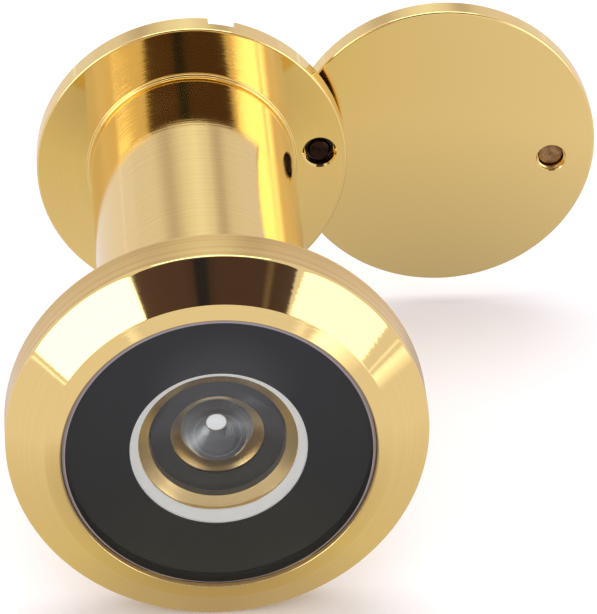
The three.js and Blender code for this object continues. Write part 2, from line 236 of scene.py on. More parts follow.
table_glow = add_node(tree, "ShaderNodeEmission", {
    "Color": table_tone, "Strength": light_level.outputs[0]})
add_node(tree, "ShaderNodeOutputMaterial", {"Surface": table_glow.outputs[0]})
card_mesh = bpy.data.meshes.new("table_top_in_reflections")
card_mesh.from_pydata([(x * CARD_HALF, y * CARD_HALF, CARD_LIFT - FLOOR_DROP)
                       for x, y in ((-1, -1), (1, -1), (1, 1), (-1, 1))], [], [(0, 1, 2, 3)])
seen_in_reflections(new_object("table_top_in_reflections", card_mesh, table_shader))

# ---- front barrel ----
# Bezel and barrel are one piece, turned from brass bar, polished and gold plated, with a brushed rim and
# the lip rolled over the glass. The barrel keeps the fine rings of its finishing cut. Its bore holds the
# lens stack and takes the inner tube.
MM = 0.001


def rounded(corners, steps=6):
    """The outline of a half section in mm, from corners (radius, y, rounding), each rounded by an arc.
    A point just outside each arc keeps the flats beside it flat when they are shaded smooth."""
    outline = []
    for i, (r, y, rounding) in enumerate(corners):
        corner = Vector((r, y))
        if not rounding:
            outline.append(corner)
            continue
        back = (Vector(corners[i - 1][:2]) - corner).normalized()
        ahead = (Vector(corners[(i + 1) % len(corners)][:2]) - corner).normalized()
        half = back.angle(ahead) / 2
        reach = rounding / math.tan(half)
        centre = corner + (back + ahead).normalized() * rounding / math.sin(half)
        start, end = corner + back * reach - centre, corner + ahead * reach - centre
        sweep = start.angle_signed(end)
        outline.append(corner + back * (reach + 0.3 * rounding))
        for step in range(steps + 1):
            angle = math.atan2(start.y, start.x) - sweep * step / steps
            outline.append(centre + rounding * Vector((math.cos(angle), math.sin(angle))))
        outline.append(corner + ahead * (reach + 0.3 * rounding))
    return outline


def arc(centre_y, radius, start, end, steps=20):
    """Corners along an arc centred on the axis, in mm, angles in degrees from straight outwards."""
    return [(radius * math.cos(math.radians(start + (end - start) * i / steps)),
             centre_y + radius * math.sin(math.radians(start + (end - start) * i / steps)), 0)
            for i in range(steps + 1)]


def turned(name, corners, centre=(0, 0), sides=192):
    """A closed mesh turned about the Y direction through centre (x, z in mm), from its half section."""
    outline = rounded(corners)
    shape = bmesh.new()
    rings = []
    for r, y in outline:
        if r < 1e-6:
            rings.append([shape.verts.new((centre[0] * MM, y * MM, centre[1] * MM))] * sides)
            continue
        rings.append([shape.verts.new(((centre[0] + r * math.cos(a)) * MM, y * MM,
                                       (centre[1] + r * math.sin(a)) * MM))
                      for a in (math.tau * k / sides for k in range(sides))])
    for lower, upper in zip(rings, rings[1:] + rings[:1]):
        if lower[0] is lower[1] and upper[0] is upper[1]:
            continue
        for k in range(sides):
            after = (k + 1) % sides
            shape.faces.new(list(dict.fromkeys((lower[k], lower[after], upper[after], upper[k]))))
    bmesh.ops.recalc_face_normals(shape, faces=shape.faces)
    mesh = bpy.data.meshes.new(name)
    shape.to_mesh(mesh)
    shape.free()
    finish_shading(mesh)
    return mesh


def finish_shading(mesh, sharp_degrees=32):
    """Smooth shading with the real edges kept sharp."""
    mesh.shade_smooth()
    mesh.set_sharp_from_angle(angle=math.radians(sharp_degrees))


def in_mm(low_high):
    """A CAD node's box in mm, as plain lists."""
    return [[value / MM for value in corner] for corner in low_high]


def gold_material(name, roughness, turning_marks, tone="#F3D891", worn_tone="#E3C57E"):
    """Gold plated brass. turning_marks is how strongly the rings of the finishing cut show."""
    material, tree = new_material(name)
    place = add_node(tree, "ShaderNodeTexCoord").outputs["Object"]
    # Blotches of slightly duller polish, about 4 mm across.
    haze = add_node(tree, "ShaderNodeTexNoise", {"Vector": place, "Scale": 250.0, "Detail": 3.0})
    # Ripples left by the buffing wheel, about 1.5 mm across.
    ripple = add_node(tree, "ShaderNodeTexNoise", {"Vector": place, "Scale": 650.0, "Detail": 1.0})
    ripple_bump = add_node(tree, "ShaderNodeBump", {
        "Height": ripple.outputs["Fac"], "Strength": 1.0, "Distance": 1.2e-6})
    # Rings of the finishing cut: a pattern of the radius and Y alone, 0.2 mm apart, coarser than the
    # real 0.05 mm feed, so that they show.
    parts = add_node(tree, "ShaderNodeSeparateXYZ", {"Vector": place})
    across = add_node(tree, "ShaderNodeCombineXYZ", {
        "X": parts.outputs["X"], "Y": parts.outputs["Z"]})
    radius = add_node(tree, "ShaderNodeVectorMath", {0: across.outputs["Vector"]}, operation="LENGTH")
    ring_place = add_node(tree, "ShaderNodeCombineXYZ", {
        "X": radius.outputs["Value"], "Y": parts.outputs["Y"]})
    rings = add_node(tree, "ShaderNodeTexNoise", {
        "Vector": ring_place.outputs["Vector"], "Scale": 5000.0, "Detail": 2.0, "Roughness": 0.6})
    rings_bump = add_node(tree, "ShaderNodeBump", {
        "Height": rings.outputs["Fac"], "Strength": 1.0, "Distance": 4e-6 * turning_marks,
        "Normal": ripple_bump.outputs["Normal"]})
    # Fine scratches along the same rings dull the colour a little.
    worn = add_node(tree, "ShaderNodeMix", {
        "Factor": add_node(tree, "ShaderNodeMapRange", {
            "Value": rings.outputs["Fac"], "From Min": 0.35, "From Max": 0.7,
            "To Max": min(turning_marks, 1.0) * 0.6}).outputs["Result"],
        "A": colour(tone), "B": colour(worn_tone)}, data_type="RGBA")
    shine = add_node(tree, "ShaderNodeMapRange", {
        "Value": haze.outputs["Fac"], "From Min": 0.3, "From Max": 0.7,
        "To Min": roughness * 0.75, "To Max": roughness * 1.25})
    metal = add_node(tree, "ShaderNodeBsdfPrincipled", {
        "Base Color": worn.outputs["Result"], "Metallic": 1.0, "Roughness": shine.outputs["Result"],
        "Normal": rings_bump.outputs["Normal"]})
    add_node(tree, "ShaderNodeOutputMaterial", {"Surface": metal.outputs[0]})
    return material


polished_gold = gold_material("polished_gold_plated_brass", roughness=0.05, turning_marks=0.35)
turned_gold = gold_material("fine_turned_gold_plated_brass", roughness=0.09, turning_marks=1.0)
brushed_gold = gold_material("brushed_gold_plated_brass", roughness=0.26, turning_marks=1.0,
                             tone="#E4C684", worn_tone="#C9A865")

(_, bezel_front, _), (_, barrel_end, bezel_radius) = in_mm(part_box("front_barrel"))
BARREL_RADIUS = 7.0
BEZEL_RIM = 2.8
LIP_RADIUS = 11.05
LIP_Y = -4.68
WINDOW_RADIUS = 10.0
POCKET_RADIUS = 10.4
POCKET_FLOOR = -3.7
STACK_BORE = 6.0
THREAD_BORE = 5.98
SHOULDER_BORE = 5.2
SHOULDER_Y = 6.2
shoulder_back = SHOULDER_Y + 0.6
glass_front = in_mm(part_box("objective_lens"))[0][1]
lip_under = glass_front + 0.2
barrel_mesh = turned("front_barrel_gold", [
    (WINDOW_RADIUS, lip_under, 0),
    (WINDOW_RADIUS + 0.04, bezel_front, 0.06),
    (LIP_RADIUS, LIP_Y, 0.12),
    (bezel_radius, -BEZEL_RIM, 0.22),
    (bezel_radius, 0, 0.3),
    (BARREL_RADIUS, 0, 0.1),
    (BARREL_RADIUS, barrel_end, 0.22),
    (THREAD_BORE, barrel_end, 0.15),
    (THREAD_BORE, shoulder_back, 0),
    (SHOULDER_BORE, shoulder_back, 0.08),
    (SHOULDER_BORE, SHOULDER_Y, 0.08),
    (STACK_BORE, SHOULDER_Y, 0),
    (STACK_BORE, POCKET_FLOOR, 0.08),
    (POCKET_RADIUS, POCKET_FLOOR, 0),
    (POCKET_RADIUS, lip_under, 0),
], sides=256)
front_barrel = new_object("front_barrel_gold", barrel_mesh, polished_gold, turned_gold, brushed_gold)
for face in barrel_mesh.polygons:
    from_axis = Vector((face.center.x, face.center.z)).length / MM
    if face.center.y > 0.2 * MM and from_axis > BARREL_RADIUS - 0.4:
        face.material_index = 1
    elif face.center.y > (0.15 - BEZEL_RIM) * MM and from_axis > bezel_radius - 0.01:
        face.material_index = 2
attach(front_barrel, "barrel")
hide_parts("front_barrel")

# ---- objective lens ----
# The front lens is pressed and polished crown glass: flat outside, with a ground bevel round its
# edge and a shallow hollow in the middle of its back. The bezel's lip holds it.
def glass_material(name, tint):
    """Polished optical glass, clear, with a little dust in its gloss."""
    material, tree = new_material(name)
    place = add_node(tree, "ShaderNodeTexCoord").outputs["Object"]
    dust = add_node(tree, "ShaderNodeTexNoise", {"Vector": place, "Scale": 5200.0, "Detail": 2.0})
    haze = add_node(tree, "ShaderNodeMapRange", {
        "Value": dust.outputs["Fac"], "From Min": 0.62, "From Max": 0.8, "To Min": 0.0, "To Max": 0.12})
    clear = add_node(tree, "ShaderNodeBsdfPrincipled", {
        "Base Color": colour(tint), "Roughness": haze.outputs["Result"], "IOR": 1.52,
        "Transmission Weight": 1.0})
    add_node(tree, "ShaderNodeOutputMaterial", {"Surface": clear.outputs[0]})
    return material


crown_glass = glass_material("polished_crown_glass", "#FBFDFC")

GLASS_RADIUS = 10.32
glass_back = in_mm(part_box("objective_lens"))[1][1]
HOLLOW_RADIUS = 4.6
HOLLOW_DEPTH = 0.45
hollow_curve = (HOLLOW_RADIUS ** 2 + HOLLOW_DEPTH ** 2) / (2 * HOLLOW_DEPTH)
hollow_half = math.degrees(math.asin(HOLLOW_RADIUS / hollow_curve))
BEVEL_INSIDE = WINDOW_RADIUS - 0.24
BEVEL_OUTSIDE = WINDOW_RADIUS - 0.02
lens_mesh = turned("objective_lens_glass", [
    (0, glass_front, 0),
    (BEVEL_INSIDE, glass_front, 0),
    (BEVEL_OUTSIDE, lip_under + 0.04, 0),
    (GLASS_RADIUS, lip_under + 0.04, 0.02),
    (GLASS_RADIUS, glass_back, 0.05),
] + arc(glass_back - HOLLOW_DEPTH + hollow_curve, hollow_curve, hollow_half - 90, -90), sides=256)
ground_glass, tree = new_material("ground_glass_bevel")
place = add_node(tree, "ShaderNodeTexCoord").outputs["Object"]
grit = add_node(tree, "ShaderNodeTexNoise", {"Vector": place, "Scale": 6000.0, "Detail": 3.0})
grit_bump = add_node(tree, "ShaderNodeBump", {"Height": grit.outputs["Fac"], "Distance": 8e-6})
ground = add_node(tree, "ShaderNodeBsdfPrincipled", {
    "Base Color": colour("#A39EA9"), "Roughness": 0.4, "Normal": grit_bump.outputs["Normal"]})
add_node(tree, "ShaderNodeOutputMaterial", {"Surface": ground.outputs[0]})
objective_lens = new_object("objective_lens_glass", lens_mesh, crown_glass, ground_glass)
for face in lens_mesh.polygons:
    if BEVEL_INSIDE < Vector((face.center.x, face.center.z)).length / MM < BEVEL_OUTSIDE:
        face.material_index = 1
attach(objective_lens, "barrel")
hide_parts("objective_lens")

# ---- lens mask ----
# A black lacquered film ring behind the glass. It hides the pocket and leaves the middle clear; its
# surface has fine pale specks of dust.
mask_film, tree = new_material("black_lacquered_film")
place = add_node(tree, "ShaderNodeTexCoord").outputs["Object"]
specks = add_node(tree, "ShaderNodeTexVoronoi", {"Vector": place, "Scale": 4200.0}, feature="F1")
speck_mask = add_node(tree, "ShaderNodeMapRange", {
    "Value": specks.outputs["Distance"], "From Min": 0.1, "From Max": 0.22, "To Min": 1.0, "To Max": 0.0})
mottle = add_node(tree, "ShaderNodeTexNoise", {"Vector": place, "Scale": 1800.0, "Detail": 4.0})
speck_share = add_node(tree, "ShaderNodeMath", {
    0: speck_mask.outputs["Result"],
    1: add_node(tree, "ShaderNodeMapRange", {
        "Value": mottle.outputs["Fac"], "From Min": 0.45, "From Max": 0.7}).outputs["Result"]},
    operation="MULTIPLY")
film_tone = add_node(tree, "ShaderNodeMix", {
    "Factor": speck_share.outputs[0],
    "A": colour("#1E242C"), "B": colour("#454C56")}, data_type="RGBA")
film = add_node(tree, "ShaderNodeBsdfPrincipled", {
    "Base Color": film_tone.outputs["Result"], "Roughness": 0.5, "Specular IOR Level": 0.1})
add_node(tree, "ShaderNodeOutputMaterial", {"Surface": film.outputs[0]})

mask_low, mask_high = in_mm(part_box("lens_mask"))
MASK_HOLE = 5.66
mask_mesh = turned("lens_mask_film", [
    (MASK_HOLE, mask_low[1], 0.03),
    (mask_high[0], mask_low[1], 0.03),
    (mask_high[0], mask_high[1], 0.03),
    (MASK_HOLE, mask_high[1], 0.03),
])
lens_mask = new_object("lens_mask_film", mask_mesh, mask_film)
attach(lens_mask, "barrel")
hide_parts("lens_mask")

# ---- lens seat ring ----
# A white nylon ring, moulded, with a bevelled mouth that shows through the glass as a bright ring. A
# faint glow makes up for the light that reaches it through the glass.
white_nylon, tree = new_material("moulded_white_nylon")
place = add_node(tree, "ShaderNodeTexCoord").outputs["Object"]
grain = add_node(tree, "ShaderNodeTexNoise", {"Vector": place, "Scale": 3000.0, "Detail": 2.0})
nylon_tone = add_node(tree, "ShaderNodeMix", {
    "Factor": grain.outputs["Fac"], "A": colour("#FFFFFF"), "B": colour("#F6F4F0")}, data_type="RGBA")
nylon = add_node(tree, "ShaderNodeBsdfPrincipled", {
    "Base Color": nylon_tone.outputs["Result"], "Roughness": 0.5,
    "Emission Color": nylon_tone.outputs["Result"], "Emission Strength": 0.28})
add_node(tree, "ShaderNodeOutputMaterial", {"Surface": nylon.outputs[0]})

SEAT_BORE = 5.13
(_, seat_front, _), (stack_radius, seat_back, _) = in_mm(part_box("lens_seat_ring"))
seat_mesh = turned("lens_seat_ring_nylon", [
    (SEAT_BORE, seat_back - 0.04, 0),
    (MASK_HOLE - 0.04, seat_front, 0.01),
    (stack_radius, seat_front, 0.03),
    (stack_radius, seat_back, 0.05),
    (SEAT_BORE, seat_back, 0),
])
seat_ring = new_object("lens_seat_ring_nylon", seat_mesh, white_nylon)
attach(seat_ring, "barrel")
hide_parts("lens_seat_ring")

# ---- brass spacers ----
# Two turned brass rings set the lens distances, each with a bevelled mouth. The front one is clean; the
# one round the dome is tarnished.
spacer_brass = gold_material("turned_brass_spacer", roughness=0.2, turning_marks=0.35,
                             tone="#E0C48A", worn_tone="#CDAA74")
tarnished_brass = gold_material("tarnished_turned_brass", roughness=0.28, turning_marks=0.5,
                                tone="#F0D6A2", worn_tone="#DCBC8A")


def bevelled_spacer(name, node, metal, mouth, bore, bevel_depth):
    """A spacer ring with a bevelled mouth, in the place of a CAD ring."""
    (_, front, _), (outside, back, _) = in_mm(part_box(node))
    ring = new_object(name, turned(name, [
        (bore, front + bevel_depth, 0.02),
        (mouth, front, 0.01),
        (outside, front, 0.02),
        (outside, back, 0.02),
        (bore, back, 0),
    ]), metal)
    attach(ring, "barrel")
    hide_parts(node)


bevelled_spacer("front_spacer_brass", "front_spacer", spacer_brass,
                mouth=5.08, bore=4.5, bevel_depth=0.32)
bevelled_spacer("dome_spacer_brass", "dome_spacer", tarnished_brass,
                mouth=3.12, bore=2.5, bevel_depth=0.66)

# ---- stop cup ----
# A dark anodised ring between the spacers. Its raised wall is coloured a lighter brownish grey than
# its floor, and its flat floor frames the second opening.
def dark_material(name, tone, second_tone, roughness):
    """A dull dark finish with faint mottling, about 1 mm across."""
    material, tree = new_material(name)
    place = add_node(tree, "ShaderNodeTexCoord").outputs["Object"]
    mottle = add_node(tree, "ShaderNodeTexNoise", {"Vector": place, "Scale": 1000.0, "Detail": 4.0})
    mixed = add_node(tree, "ShaderNodeMix", {
        "Factor": mottle.outputs["Fac"], "A": colour(tone), "B": colour(second_tone)}, data_type="RGBA")
    surface = add_node(tree, "ShaderNodeBsdfPrincipled", {
        "Base Color": mixed.outputs["Result"], "Roughness": roughness})
    add_node(tree, "ShaderNodeOutputMaterial", {"Surface": surface.outputs[0]})
    return material


stop_grey = dark_material("dark_grey_anodised_aluminium", "#363840", "#42444A", 0.25)
# The raised wall gets a lighter brownish grey, apart from the dark floor.
brownish_wall = dark_material("lighter_brownish_anodised_wall", "#8E8478", "#7A7066", 0.4)
(_, stop_front, _), (_, stop_back, _) = in_mm(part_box("stop_cup"))
STOP_HOLE = 3.16
STOP_WALL_MOUTH = 4.52
STOP_WALL_FOOT = 4.45
stop_floor = stop_back - 0.2
stop_mesh = turned("stop_cup_anodised", [
    (STOP_WALL_MOUTH, stop_front, 0.02),
    (stack_radius, stop_front, 0.04),
    (stack_radius, stop_back, 0.04),
    (STOP_HOLE, stop_back, 0.04),
    (STOP_HOLE, stop_floor, 0.05),
    (STOP_WALL_FOOT, stop_floor, 0.04),
])
stop_cup = new_object("stop_cup_anodised", stop_mesh, stop_grey, brownish_wall)
WALL_MARGIN = 0.05
for face in stop_mesh.polygons:
    from_axis = Vector((face.center.x, face.center.z)).length / MM
    if (STOP_WALL_FOOT - WALL_MARGIN < from_axis < STOP_WALL_MOUTH + 2 * WALL_MARGIN
            and face.center.y < (stop_floor - 0.03) * MM):
        face.material_index = 1
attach(stop_cup, "barrel")
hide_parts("stop_cup")

# ---- dome lens ----
# The second lens: nearly a half ball on a thin collar, its dome standing in the small spacer's bore.
# The lenses here don't image the eyepiece, so the middle of the flat back glows in its place.
(_, dome_front, _), (_, dome_back, _) = in_mm(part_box("dome_lens"))
DOME_RADIUS = 2.38
DOME_COLLAR = 0.6
LIT_RADIUS = 0.48
BACK_MARGIN = 0.01
dome_collar = dome_back - DOME_COLLAR
dome_mesh = turned("dome_lens_glass",
                   arc(dome_front + DOME_RADIUS, DOME_RADIUS, -90, -4, 24) + [
                       (stack_radius, dome_collar, 0.05),
                       (stack_radius, dome_back, 0.05),
                       (LIT_RADIUS, dome_back, 0),
                       (0, dome_back, 0)])
eyepiece_light, tree = new_material("light_from_the_eyepiece")
place = add_node(tree, "ShaderNodeTexCoord").outputs["Object"]
parts = add_node(tree, "ShaderNodeSeparateXYZ", {"Vector": place})
across = add_node(tree, "ShaderNodeCombineXYZ", {"X": parts.outputs["X"], "Y": parts.outputs["Z"]})
off_axis = add_node(tree, "ShaderNodeVectorMath", {0: across.outputs["Vector"]}, operation="LENGTH")
falloff = add_node(tree, "ShaderNodeMapRange", {
    "Value": off_axis.outputs["Value"], "From Min": 0.0, "From Max": LIT_RADIUS * MM})
light_tone = add_ramp(tree, falloff.outputs["Result"], (
    (0.0, "#E2E2E4"), (0.82, "#DEDEE0"), (0.92, "#7A6A58"), (1.0, "#4A423C")))
lit = add_node(tree, "ShaderNodeEmission", {"Color": light_tone, "Strength": 1.0})
add_node(tree, "ShaderNodeOutputMaterial", {"Surface": lit.outputs[0]})

# Round it, faint spokes stand for the reflections that a real dome gathers from the tube's wall.
dome_back_look, tree = new_material("reflections_in_the_dome")
place = add_node(tree, "ShaderNodeTexCoord").outputs["Object"]
parts = add_node(tree, "ShaderNodeSeparateXYZ", {"Vector": place})
heading = add_node(tree, "ShaderNodeMath", {0: parts.outputs["Z"], 1: parts.outputs["X"]},
                   operation="ARCTAN2")
turn_share = add_node(tree, "ShaderNodeMapRange", {
    "Value": heading.outputs[0], "From Min": -math.pi, "From Max": math.pi})
spoke_tone = add_ramp(tree, turn_share.outputs["Result"], (
    (0.0, "#56575B"), (0.05, "#66676B"), (0.10, "#8E9092"), (0.135, "#ABADAE"), (0.16, "#8E9092"),
    (0.19, "#5C5D62"), (0.25, "#54555A"), (0.36, "#424348"), (0.44, "#67696D"), (0.47, "#737578"),
    (0.51, "#5E6064"), (0.60, "#38393D"), (0.75, "#2C2D30"), (0.90, "#3A3B3F"), (1.0, "#56575B")))
spokes = add_node(tree, "ShaderNodeEmission", {"Color": spoke_tone, "Strength": 1.0})
add_node(tree, "ShaderNodeOutputMaterial", {"Surface": spokes.outputs[0]})
dome_lens = new_object("dome_lens_glass", dome_mesh, crown_glass, eyepiece_light, dome_back_look)
for face in dome_mesh.polygons:
    if face.center.y > (dome_back - BACK_MARGIN) * MM:
        in_middle = Vector((face.center.x, face.center.z)).length < LIT_RADIUS * MM
        face.material_index = 1 if in_middle else 2
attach(dome_lens, "barrel")
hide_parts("dome_lens")

# ---- rear spacer ----
# A moulded cup of matt black nylon between the second and third lens. The small hole in its floor is
# the aperture.
black_nylon = dark_material("matt_black_nylon", "#17181A", "#222325", 0.6)


def plain_ring(name, node, body, bore, material):
    """A plain ring with broken edges, in the place of a CAD ring."""
    (_, front, _), (outside, back, _) = in_mm(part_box(node))
    ring = new_object(name, turned(name, [
        (bore, front, 0.06), (outside, front, 0.06), (outside, back, 0.06), (bore, back, 0.06)],
        sides=128), material)
    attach(ring, body)
    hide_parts(node)


APERTURE_RADIUS = 0.5
CUP_BORE = 4.7
(_, cup_front, _), (_, cup_back, _) = in_mm(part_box("rear_spacer"))
cup_floor = cup_front + 0.5
rear_spacer = new_object("rear_spacer_nylon", turned("rear_spacer_nylon", [
    (APERTURE_RADIUS, cup_front, 0.04),
    (stack_radius, cup_front, 0.06),
    (stack_radius, cup_back, 0.06),
    (CUP_BORE, cup_back, 0.06),
    (CUP_BORE, cup_floor, 0.1),
    (APERTURE_RADIUS, cup_floor, 0.04),
], sides=128), black_nylon)
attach(rear_spacer, "barrel")
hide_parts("rear_spacer")

# ---- field lens and eyepiece lens ----
# Two biconvex lenses of the same glass: one rests on the barrel's shoulder, the other is the eyepiece
# in the end of the inner tube.
def biconvex(name, node, body, curve, face_radius):
    """A biconvex lens with a flat ground rim, in the place of a CAD lens."""
    (_, front, _), (outside, back, _) = in_mm(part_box(node))
    half = math.degrees(math.asin(face_radius / curve))
    sag = curve * (1 - math.cos(math.radians(half)))
    lens = new_object(name, turned(
        name, arc(front + curve, curve, -90, half - 90) + [
            (outside, front + sag, 0.05), (outside, back - sag, 0.05)]
        + arc(back - curve, curve, 90 - half, 90), sides=128), crown_glass)
    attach(lens, body)
    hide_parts(node)


biconvex("field_lens_glass", "field_lens", "barrel", curve=9.0, face_radius=4.6)
biconvex("eyepiece_lens_glass", "eyepiece_lens", "tube", curve=9.5, face_radius=4.3)

# ---- inner tube ----
# A turned brass tube with a rolled thread of 0.75 mm pitch along nearly its whole length. It screws
# into the barrel and seats the eyepiece in its inner end.
THREAD_PITCH = 0.75
THREAD_DEPTH = 0.4
(_, tube_front, _), (thread_radius, tube_end, _) = in_mm(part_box("inner_tube"))
(_, eye_seat, _), (eye_radius, _, _) = in_mm(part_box("eyepiece_ring"))
TUBE_BORE = 4.9
eye_bore = eye_radius + 0.08
eye_ledge = eye_seat - 0.06
core_radius = thread_radius - THREAD_DEPTH
tube_mesh = turned("inner_tube_core", [
    (TUBE_BORE, tube_front, 0.1),
    (core_radius, tube_front, 0.1),
    (core_radius, tube_end, 0.1),
    (eye_bore, tube_end, 0.05),
    (eye_bore, eye_ledge, 0),
    (TUBE_BORE, eye_ledge, 0.05),
], sides=128)
thread_brass = gold_material("rolled_thread_brass", roughness=0.22, turning_marks=0.5)


def thread_tree():
    """Geometry Nodes that sweep a ridge along a helix about Y, from named sizes."""
    tree = bpy.data.node_groups.new("rolled_thread", "GeometryNodeTree")
    tree.interface.new_socket("Geometry", in_out="INPUT", socket_type="NodeSocketGeometry")
    sizes = {}
    for name, kind in (("Turns", "Float"), ("Radius", "Float"), ("Length", "Float"), ("Ridge", "Float"),
                       ("Start", "Float"), ("Metal", "Material")):
        sizes[name] = tree.interface.new_socket(name, in_out="INPUT", socket_type="NodeSocket" + kind)
    tree.interface.new_socket("Geometry", in_out="OUTPUT", socket_type="NodeSocketGeometry")
    inlet = add_node(tree, "NodeGroupInput")
    helix = add_node(tree, "GeometryNodeCurveSpiral", {
        "Resolution": 64, "Rotations": inlet.outputs["Turns"], "Start Radius": inlet.outputs["Radius"],
        "End Radius": inlet.outputs["Radius"], "Height": inlet.outputs["Length"]})
    # Normals square to the helix's axis keep one corner of the ridge pointing outwards all the way.
    upright = add_node(tree, "GeometryNodeSetCurveNormal", {"Curve": helix.outputs["Curve"]}, mode="Z_UP")
    section = add_node(tree, "GeometryNodeCurvePrimitiveCircle", {
        "Resolution": 4, "Radius": inlet.outputs["Ridge"]})
    swept = add_node(tree, "GeometryNodeCurveToMesh", {
        "Curve": upright.outputs["Curve"], "Profile Curve": section.outputs["Curve"], "Fill Caps": True})
    place = add_node(tree, "ShaderNodeCombineXYZ", {"Y": inlet.outputs["Start"]})
    laid = add_node(tree, "GeometryNodeTransform", {
        "Geometry": swept.outputs["Mesh"], "Rotation": (-math.pi / 2, 0, 0),
        "Translation": place.outputs["Vector"]})
    real = add_node(tree, "GeometryNodeRealizeInstances", {"Geometry": laid.outputs["Geometry"]})
    painted = add_node(tree, "GeometryNodeSetMaterial", {
        "Geometry": real.outputs["Geometry"], "Material": inlet.outputs["Metal"]})
    add_node(tree, "NodeGroupOutput", {"Geometry": painted.outputs["Geometry"]})
    return tree, {name: socket.identifier for name, socket in sizes.items()}


THREAD_RUN_IN = 0.6
THREAD_RUN_OUT = 1.0
RIDGE_RADIUS = 0.36
thread_length = tube_end - tube_front - THREAD_RUN_IN - THREAD_RUN_OUT
thread_host = new_object("thread_ridge", bpy.data.meshes.new("thread_ridge"))
ridge_tree, ridge_input = thread_tree()
ridge = thread_host.modifiers.new("thread", "NODES")
ridge.node_group = ridge_tree
for name, value in (("Turns", thread_length / THREAD_PITCH), ("Radius", (core_radius + 0.02) * MM),
                    ("Length", thread_length * MM), ("Ridge", RIDGE_RADIUS * MM),
                    ("Start", (tube_front + THREAD_RUN_IN) * MM), ("Metal", thread_brass)):
    ridge[ridge_input[name]] = value
bpy.context.view_layer.update()
ridge_mesh = bpy.data.meshes.new_from_object(thread_host.evaluated_get(
    bpy.context.evaluated_depsgraph_get()))
bpy.data.objects.remove(thread_host)
joined = bmesh.new()
joined.from_mesh(tube_mesh)
joined.from_mesh(ridge_mesh)
bmesh.ops.recalc_face_normals(joined, faces=joined.faces)
joined.to_mesh(tube_mesh)
joined.free()
finish_shading(tube_mesh)
inner_tube = new_object("inner_tube_threaded", tube_mesh, thread_brass)
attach(inner_tube, "tube")
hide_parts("inner_tube")

# ---- tube baffle and eyepiece ring ----
# A black nylon ring in the tube's mouth stops stray light, and a brass ring seats the eyepiece. Both
# are plain, with their edges broken.
plain_ring("tube_baffle_nylon", "tube_baffle", "tube",
           bore=3.6, material=black_nylon)
plain_ring("eyepiece_ring_brass", "eyepiece_ring", "tube",
           bore=4.45, material=spacer_brass)

# ---- rear flange ----
# A turned and polished brass disc, pressed on the tube's end. A raised ring meets the barrel, the
# room side is dished round the eyepiece and cut across by a coin slot, and a counterbored hole near
# the rim takes the cover's pivot.
(_, flange_front_ring, _), (flange_radius, flange_back, _) = in_mm(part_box("rear_flange"))
RAISED_RING = 0.3
RAISED_RADIUS = 7.2
grip = flange_front_ring + RAISED_RING
pivot_low, pivot_high = in_mm(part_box("pivot_collar"))
pivot = ((pivot_low[0] + pivot_high[0]) / 2, (pivot_low[2] + pivot_high[2]) / 2)
SLOT_ANGLE = math.radians(78.4)
SLOT_WIDTH = 1.85
SLOT_DEPTH = 0.8
SLOT_INSIDE = 5.2
TUBE_COUNTERBORE = 5.98
WINDOW = 4.1
DISH = 5.6
DISH_DEPTH = 0.5
tube_seat = tube_end + 0.05
flange_mesh = turned("rear_flange_gold", [
    (TUBE_COUNTERBORE, flange_front_ring, 0.05),
    (RAISED_RADIUS, flange_front_ring, 0.1),
    (RAISED_RADIUS, grip, 0.08),
    (flange_radius, grip, 0.14),
    (flange_radius, flange_back, 0.1),
    (DISH, flange_back, 0.15),
    (WINDOW, flange_back - DISH_DEPTH, 0.1),
    (WINDOW, tube_seat, 0),
    (TUBE_COUNTERBORE, tube_seat, 0),
], sides=256)
rear_flange = new_object("rear_flange_gold", flange_mesh, polished_gold)


def cut(piece, cutter_mesh):
    """Cuts a closed mesh out of a piece, for good."""
    cutter = new_object("cutter", cutter_mesh)
    difference = piece.modifiers.new("cut", "BOOLEAN")
    difference.operation = "DIFFERENCE"
    difference.solver = "EXACT"
    difference.object = cutter
    bpy.context.view_layer.update()
    result = bpy.data.meshes.new_from_object(piece.evaluated_get(bpy.context.evaluated_depsgraph_get()))
    piece.modifiers.remove(difference)
    bpy.data.objects.remove(cutter)
    old = piece.data
    piece.data = result
    bpy.data.meshes.remove(old)
    finish_shading(result)


def slot_cutter(inner, outer, width, from_y, to_y, angle):
    """A box lying along a radius of the flange."""
    box = bmesh.new()
    bmesh.ops.create_cube(box, size=1.0, matrix=Matrix.Rotation(-angle, 4, "Y") @ Matrix.Translation(
        Vector(((inner + outer) / 2, (from_y + to_y) / 2, 0)) * MM) @ Matrix.Diagonal(
        Vector(((outer - inner), (to_y - from_y), width, 1000)) * MM))
    mesh = bpy.data.meshes.new("slot_cutter")
    box.to_mesh(mesh)
    box.free()
    return mesh


OVERCUT = 1.0
for turn in (0, math.pi):
    cut(rear_flange, slot_cutter(SLOT_INSIDE, flange_radius + OVERCUT, SLOT_WIDTH, flange_back - SLOT_DEPTH,
                                 flange_back + OVERCUT, SLOT_ANGLE + turn))
PIN_COUNTERBORE = 1.06
COUNTERBORE_DEPTH = 0.95
PIN_HOLE = 0.8
hole_floor = grip + COUNTERBORE_DEPTH
cut(rear_flange, turned("pin_hole_cutter", [
    (0, grip - OVERCUT, 0),
    (PIN_COUNTERBORE + 0.12, grip - OVERCUT, 0),
    (PIN_COUNTERBORE + 0.12, grip, 0),
    (PIN_COUNTERBORE, grip + 0.12, 0),
    (PIN_COUNTERBORE, hole_floor, 0),
    (PIN_HOLE, hole_floor, 0),
    (PIN_HOLE, flange_back + OVERCUT, 0),
    (0, flange_back + OVERCUT, 0),
], centre=pivot, sides=48))
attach(rear_flange, "flange")
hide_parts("rear_flange")
